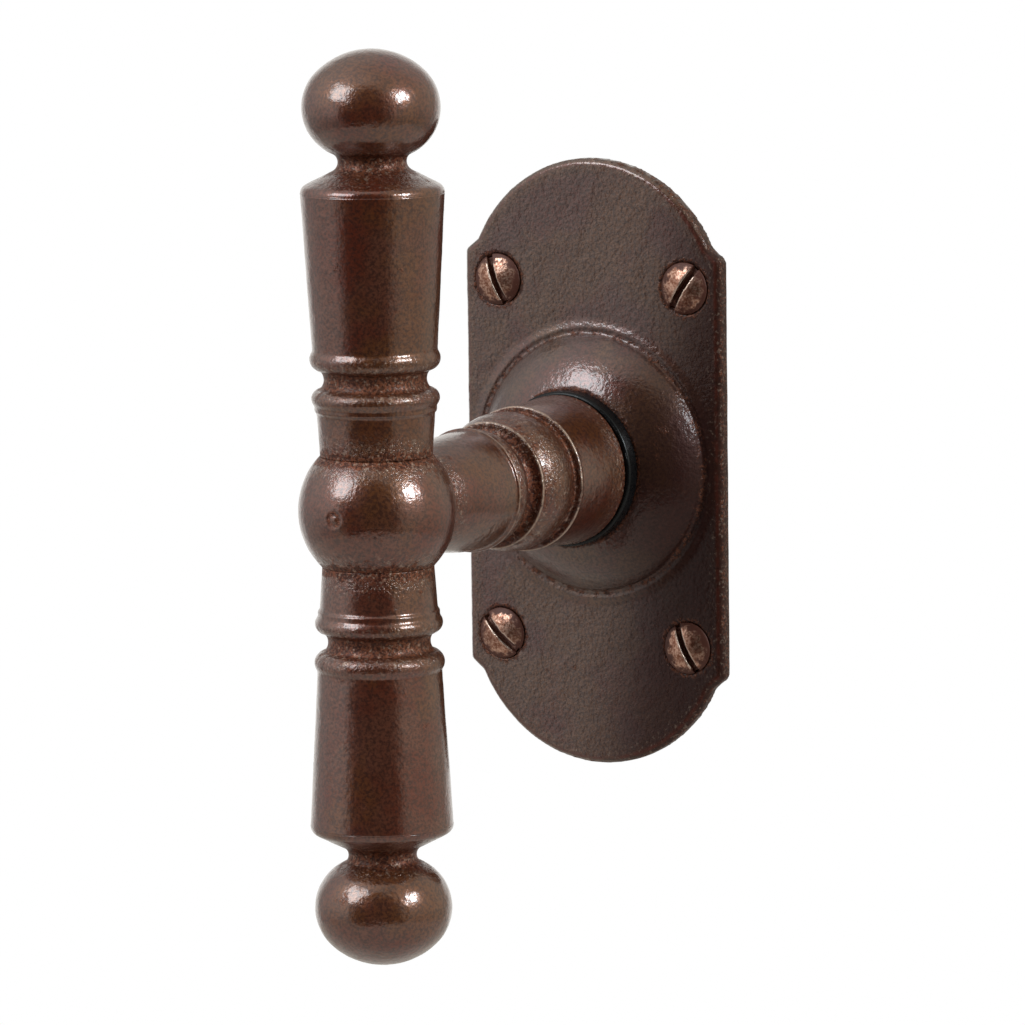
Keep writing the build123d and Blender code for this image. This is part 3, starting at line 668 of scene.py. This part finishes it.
IRON_PITS = 0.045 * MM
IRON_METALLIC = 0.55
PLATE_PITS = 0.07 * MM
PLATE_METALLIC = 0.62
FINE_GRAIN = 0.4 * MM
COARSE_GRAIN = 0.5 * MM

# Scales that draw noise out into lines round the bar and round the neck
ROUND_BAR = (0.04, 0.04, 1.0)
ROUND_NECK = (0.04, 1.0, 0.04)

BAR_IRON = patina("bar iron", BAR_TONES, IRON_PITS, IRON_METALLIC, ROUND_BAR)
NECK_IRON = patina("neck iron", NECK_TONES, IRON_PITS, IRON_METALLIC, ROUND_NECK)
PLATE_IRON = patina("plate iron", PLATE_TONES, PLATE_PITS, PLATE_METALLIC)
SCREW_FACE = worn_screw("screw face")
NYLON = mottled(
    "black nylon", colour(5, 5, 6), colour(10, 11, 13), COARSE_GRAIN,
    roughness=0.3, metallic=0.0, shine=0.2,
)
HOUSING = mottled(
    "housing plastic", colour(46, 46, 48), colour(60, 60, 62), COARSE_GRAIN,
    roughness=0.45, metallic=0.0,
)
BRASS = mottled(
    "bush brass", colour(206, 170, 98), colour(170, 130, 66), FINE_GRAIN, roughness=0.3
)
SPRING_STEEL = mottled(
    "spring steel", colour(120, 124, 136), colour(84, 84, 98), FINE_GRAIN, roughness=0.28
)
INNER_STEEL = mottled(
    "zinc-plated steel", colour(176, 176, 170), colour(142, 138, 124), COARSE_GRAIN, roughness=0.34
)
SPINDLE_STEEL = mottled(
    "spindle steel", colour(150, 148, 144), colour(120, 114, 108), COARSE_GRAIN, roughness=0.36
)


# The CAD nodes that stay get these materials, and eased edges, which catch the light

NODE_MATERIALS = {
    "bearing_bush": BRASS,
    "cone_washer": SPRING_STEEL,
    "retaining_ring": SPRING_STEEL,
    "detent_spring_left": SPRING_STEEL,
    "detent_spring_right": SPRING_STEEL,
    "detent_housing": HOUSING,
    "detent_cam": INNER_STEEL,
    "mechanism_cover": INNER_STEEL,
    "cover_screws": INNER_STEEL,
    "tie_rod": INNER_STEEL,
    "spindle_pin": INNER_STEEL,
    "spindle": SPINDLE_STEEL,
    "neck_washer": NYLON,
}
for kept, material in NODE_MATERIALS.items():
    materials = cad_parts[kept].data.materials
    materials.clear()
    materials.append(material)
    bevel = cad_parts[kept].modifiers.new("eased edges", "BEVEL")
    bevel.width = EASED_EDGE
    bevel.segments = EASED_SEGMENTS
    bevel.limit_method = "ANGLE"
    bevel.harden_normals = True


def add_piece(name, mesh, body, replaces):
    piece = bpy.data.objects.new(name, mesh)
    bpy.context.scene.collection.objects.link(piece)
    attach(piece, body)
    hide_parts(replaces)
    return piece


def cast_skin(piece):
    """Presses the surface in here and there, as a sand casting's is, and never outwards."""
    for size, depth in SKIN:
        texture = bpy.data.textures.new("cast skin", "CLOUDS")
        texture.noise_scale = size
        modifier = piece.modifiers.new("cast skin", "DISPLACE")
        modifier.texture = texture
        modifier.texture_coords = "LOCAL"
        modifier.strength = depth
        modifier.mid_level = 1.0


def iron_piece(name, mesh, body, replaced, material):
    mesh.materials.append(material)
    cast_skin(add_piece(name, mesh, body, replaced))


# Turned pieces of the handle

rod_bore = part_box("tie_rod")[1].x + ROD_GAP


def turned_arm(name):
    """A sleeve of the bar. Its ends lap a little into the next pieces, so that no seam gapes."""
    line = profile_of(name, BAR)
    notes = profile_notes(line, BAR, ["ball_hub"])
    line[0, 0] -= SEAM_LAP
    line[-1, 0] += SEAM_LAP
    bore = [(line[-1, 0], rod_bore), (line[0, 0], rod_bore)]
    return turned(name, [*line, *bore], BAR, True, padded_notes(notes, 0, len(bore)))


def turned_finial(name, side):
    """A finial. Its line starts at the bottom of the rod's hole and ends on top of the knob."""
    line = profile_of(name, BAR)[::side]
    notes = profile_notes(line, BAR, [])
    notes["grit"] = with_zone(notes["grit"], side * line[:, 0], CONE_GRIT)
    rod_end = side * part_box("tie_rod")[1].z
    hole = [(rod_end, 0), (rod_end, rod_bore), (line[0, 0], rod_bore)]
    whole = [*hole, *line, (line[-1, 0], 0)]
    return turned(name, whole, BAR, False, padded_notes(notes, len(hole), 1))


def turned_neck():
    """The neck, from its tenon in the ball to its journal in the plate."""
    line = profile_of("neck", SPINDLE)
    notes = profile_notes(line, SPINDLE, ["ball_hub", "neck_washer"])
    notes["grit"] = with_zone(notes["grit"], line[:, 0], NECK_GRIT)
    whole = [(line[0, 0], 0), *line, (line[-1, 0], 0)]
    return turned("neck", whole, SPINDLE, False, padded_notes(notes, 1, 1))


def rounded_ball():
    """The ball, turned about the spindle's axis and cut flat where neck and arms are seated."""
    low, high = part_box("ball_hub")
    radius = high.x
    centre = BAR.origin.y
    seat = high.y - centre
    front = math.pi - math.acos(seat / radius)
    steps = round(front * radius / ROW_SPACING)
    turns = [front * step / steps for step in range(steps + 1)]
    line = [(centre - radius * math.cos(turn), radius * math.sin(turn)) for turn in turns]
    mesh = turned("ball_hub", [*line, (line[-1][0], 0)], SPINDLE, False, {})
    points = vectors_of(mesh, "co")
    across = np.hypot(points[:, 0], points[:, 2])
    groove = bell(across, MARK_RADIUS, MARK_WIDTH / 2) * (points[:, 1] < centre)
    points[:, 1] += MARK_DEPTH * groove
    points[:, 2] = np.clip(points[:, 2], low.z, high.z)
    move_points(mesh, points)
    seam = seam_distances(points, ["neck", "upper_arm", "lower_arm"])
    grime = np.maximum(near(seam, *BALL_GRIME), MARK_GRIME * groove)
    notes = {"wear": np.zeros(len(points)), "grime": grime, "grit": near(seam, *BALL_GRIT)}
    write_notes(mesh, notes)
    return mesh


iron_piece("turned_neck", turned_neck(), "handle", "neck", NECK_IRON)
for end, side in (("upper", 1), ("lower", -1)):
    arm, finial = f"{end}_arm", f"{end}_finial"
    iron_piece(f"turned_{arm}", turned_arm(arm), "handle", arm, BAR_IRON)
    mesh = turned_finial(finial, side)
    iron_piece(f"turned_{finial}", mesh, "handle", finial, BAR_IRON)
iron_piece("rounded_ball", rounded_ball(), "handle", "ball_hub", BAR_IRON)


# Back plate and its screws

def outline_notes(mesh):
    """What follows the plate's outline, found from the solid's side faces, and the painted shade
    towards its right.
    """
    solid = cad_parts["back_plate"].data
    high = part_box("back_plate")[1]
    side_faces = [
        list(face.vertices) for face in solid.polygons
        if abs(face.normal.y) < SIDE_LEAN
        and (abs(face.center.x) > OUTLINE_X * high.x or abs(face.center.z) > OUTLINE_Z * high.z)
    ]
    tree = BVHTree.FromPolygons([vertex.co.copy() for vertex in solid.vertices], side_faces)
    points = vectors_of(mesh, "co")
    distance = distances_to(tree, points, OUTLINE_LIMIT)
    in_front = stepped(-points[:, 1] / MM, *RIM_LINE_FRONT)
    right_and_down = points[:, 0] + PAINTED_SHADE_DOWN_SHARE * (high.z - points[:, 2])
    side_rust = SIDE_RUST_LEVEL * bell(distance, 0, SIDE_RUST_REACH)
    notes = {
        "rim": bell(distance, RIM_LINE_PLACE, RIM_LINE_WIDTH) * in_front,
        "edging": EDGING_LEVEL * near(distance, *EDGING_REACH),
        # Painted shade, growing towards the right and bottom
        "painted_shade": stepped(right_and_down, *PAINTED_SHADE_FROM_TO),
    }
    return notes, side_rust


def cast_plate():
    mesh = remeshed("back_plate", PLATE_VOXEL, PLATE_SMOOTHING)
    notes = surface_notes(mesh, PLATE_VOXEL, ["neck_washer", "plate_screws"])
    more, side_rust = outline_notes(mesh)
    notes["grime"] = np.maximum(notes["grime"], side_rust)
    write_notes(mesh, {**notes, **more})
    return mesh


def wood_screws():
    """Four screws, each with a thread cut into its shank behind the plate."""
    mesh = remeshed("plate_screws", SCREW_VOXEL, SCREW_SMOOTHING)
    points = vectors_of(mesh, "co")
    rim = np.zeros(len(points))
    for side_x in (-1, 1):
        for side_z in (-1, 1):
            one = (points[:, 0] * side_x > 0) & (points[:, 2] * side_z > 0)
            middle = (points[one].min(0) + points[one].max(0)) / 2
            offset = points[one] - middle
            depth = points[one, 1]
            rim[one] = np.hypot(offset[:, 0], offset[:, 2])
            turn = np.arctan2(offset[:, 2], offset[:, 0]) / math.tau
            beside_crest = np.abs((depth / THREAD_PITCH - turn) % 1 - 0.5)
            cut = stepped(beside_crest, *THREAD_FLANK) * stepped(depth, *THREAD_START)
            points[one] -= offset * (1, 0, 1) * (THREAD_DEPTH * cut)[:, None]
    move_points(mesh, points)
    write_notes(mesh, {"rim": rim / MM, **surface_notes(mesh, SCREW_VOXEL, ["back_plate"])})
    mesh.materials.append(SCREW_FACE)
    return mesh


iron_piece("cast_plate", cast_plate(), "plate", "back_plate", PLATE_IRON)
add_piece("wood_screws", wood_screws(), "plate", "plate_screws")


# Stage: a pale floor under the handle, two soft lamps and a white tent. Directions start at CENTRE.

CENTRE = Vector((0, -30 * MM, -4 * MM))
FLOOR_DROP = 0.2
FLOOR_RADIUS = 0.42
FLOOR_SEGMENTS = 96
FLOOR_TONE = (0.5, 0.46, 0.42, 1)
FLOOR_ROUGHNESS = 0.8

# Each lamp's direction, size and radiance, 1 being white
LAMP_DISTANCE = 1.1
LAMP_COLOUR = (0.9, 1.0, 1.06)
RIGHT_LAMP = (Vector((0.880, -0.031, 0.475)), 0.27, 35)
LEFT_LAMP = (Vector((-0.371, -0.729, 0.575)), 0.54, 7)

# The tent: levels of its walls and floor and the heights between which they meet, a glow round
# the left lamp, a dim part behind the handle, and the part that metal sees as white backdrop.
# Angles are degrees from a middle, and the other ranges are cosines.
TENT_LEVEL = 0.72
TENT_FLOOR_LEVEL = 0.2
TENT_FLOOR_HEIGHTS = (-0.8, 0.1)
GLOW_LEVEL = 0.5
GLOW_ANGLES = (64, 12)
BEHIND = (-0.515, 0.848, -0.129)
BEHIND_LEVEL = 0.45
BEHIND_RANGE = (0.3, 0.85)
BACKDROP_RANGE = (0.5, 0.95)

# The gap in the tent, in front of the handle and taller than it is wide
GAP = (0.366, -0.930, 0.0)
GAP_FLATNESS = (1, 1, 0.7)
GAP_LEVEL = 0.03
GAP_ANGLES = (56, 34)

# The light's tint, from the left to the right side of the tent
LEFT_WALL = (1.0, 0.98, 0.94, 1)
RIGHT_WALL = (1.0, 0.94, 0.78, 1)
WARM_RANGE = (-0.2, 0.6)
WHITE = (1, 1, 1, 1)

CAMERA_PLACE = Vector((0.520059, -0.848696, 0.129068))
CAMERA_AIM = Vector((3.13034, -30.0, -3.97608)) * MM
CAMERA_ROLL = -0.7405
CAMERA_LENS = 233.4
CAMERA_SENSOR = 36.0


def floor():
    """A pale disc of one tone, which keeps the undersides in some shade."""
    shape = bmesh.new()
    bmesh.ops.create_circle(shape, cap_ends=True, segments=FLOOR_SEGMENTS, radius=FLOOR_RADIUS)
    mesh = bpy.data.meshes.new("floor")
    shape.to_mesh(mesh)
    shape.free()
    material, tree = new_material("floor")
    principled(tree, {"Base Color": FLOOR_TONE, "Roughness": FLOOR_ROUGHNESS})
    mesh.materials.append(material)
    made = bpy.data.objects.new("floor", mesh)
    made.location = CENTRE - Z * FLOOR_DROP
    bpy.context.scene.collection.objects.link(made)


def lamp(name, direction, size, radiance):
    """A square soft box that looks this bright when it is seen in a mirror."""
    light = bpy.data.lights.new(name, "AREA")
    light.shape = "SQUARE"
    light.size = size
    light.energy = radiance * math.pi * size**2
    light.color = LAMP_COLOUR
    made = bpy.data.objects.new(name, light)
    made.location = CENTRE + direction.normalized() * LAMP_DISTANCE
    made.rotation_mode = "QUATERNION"
    made.rotation_quaternion = direction.to_track_quat("Z", "Y")
    made.visible_camera = False
    bpy.context.scene.collection.objects.link(made)


def vector_node(tree, operation, a, b):
    return add_node(tree, "VectorMath", {0: a, 1: b}, operation=operation)


def dot(tree, direction, towards):
    return vector_node(tree, "DOT_PRODUCT", direction, towards).outputs["Value"]


def cosines(angles):
    return [math.cos(math.radians(angle)) for angle in angles]


def tent():
    """White to the camera, and to metal and glass where it is the backdrop behind the handle.

    As light it is a pale tent, warm on its right, dim below and behind, with a dark gap in front.
    """
    world = bpy.data.worlds.new("tent")
    bpy.context.scene.world = world
    world.use_nodes = True
    tree = world.node_tree
    tree.nodes.clear()
    direction = add_node(tree, "TexCoord", {}).outputs["Generated"]
    parts = add_node(tree, "SeparateXYZ", {0: direction}).outputs
    rays = add_node(tree, "LightPath", {}).outputs
    seen = rays["Is Camera Ray"]
    mirrored = larger(tree, rays["Is Glossy Ray"], rays["Is Transmission Ray"])

    walls = ramp(tree, parts["Z"], *TENT_FLOOR_HEIGHTS, TENT_FLOOR_LEVEL, TENT_LEVEL)
    to_lamp = dot(tree, direction, tuple(LEFT_LAMP[0].normalized()))
    walls = plus(tree, walls, ramp(tree, to_lamp, *cosines(GLOW_ANGLES), 0.0, GLOW_LEVEL))
    behind = dot(tree, direction, BEHIND)
    walls = times(tree, walls, ramp(tree, behind, *BEHIND_RANGE, 1.0, BEHIND_LEVEL))
    walls = larger(tree, walls, times(tree, mirrored, ramp(tree, behind, *BACKDROP_RANGE)))
    flattened = vector_node(tree, "MULTIPLY", direction, GAP_FLATNESS).outputs[0]
    unit = add_node(tree, "VectorMath", {0: flattened}, operation="NORMALIZE").outputs[0]
    level = ramp(tree, dot(tree, unit, GAP), *cosines(GAP_ANGLES), walls, GAP_LEVEL)

    unseen = math_node(tree, "SUBTRACT", 1.0, seen)
    warm = times(tree, ramp(tree, parts["X"], *WARM_RANGE), unseen)
    tint = mix_colours(tree, seen, LEFT_WALL, WHITE)
    tint = mix_colours(tree, warm, tint, RIGHT_WALL)
    shader = add_node(tree, "Background", {"Color": tint, "Strength": larger(tree, level, seen)})
    add_node(tree, "OutputWorld", {"Surface": shader.outputs[0]})


def camera():
    data = bpy.data.cameras.new("camera")
    data.sensor_width = CAMERA_SENSOR
    data.lens = CAMERA_LENS
    made = bpy.data.objects.new("camera", data)
    made.location = CAMERA_PLACE
    made.rotation_mode = "QUATERNION"
    turn = (CAMERA_AIM - CAMERA_PLACE).to_track_quat("-Z", "Y")
    roll = Matrix.Rotation(math.radians(CAMERA_ROLL), 4, "Z").to_quaternion()
    made.rotation_quaternion = turn @ roll
    bpy.context.scene.collection.objects.link(made)
    bpy.context.scene.camera = made


floor()
lamp("right lamp", *RIGHT_LAMP)
lamp("left lamp", *LEFT_LAMP)
tent()
camera()
bpy.context.scene.view_settings.view_transform = "Standard"
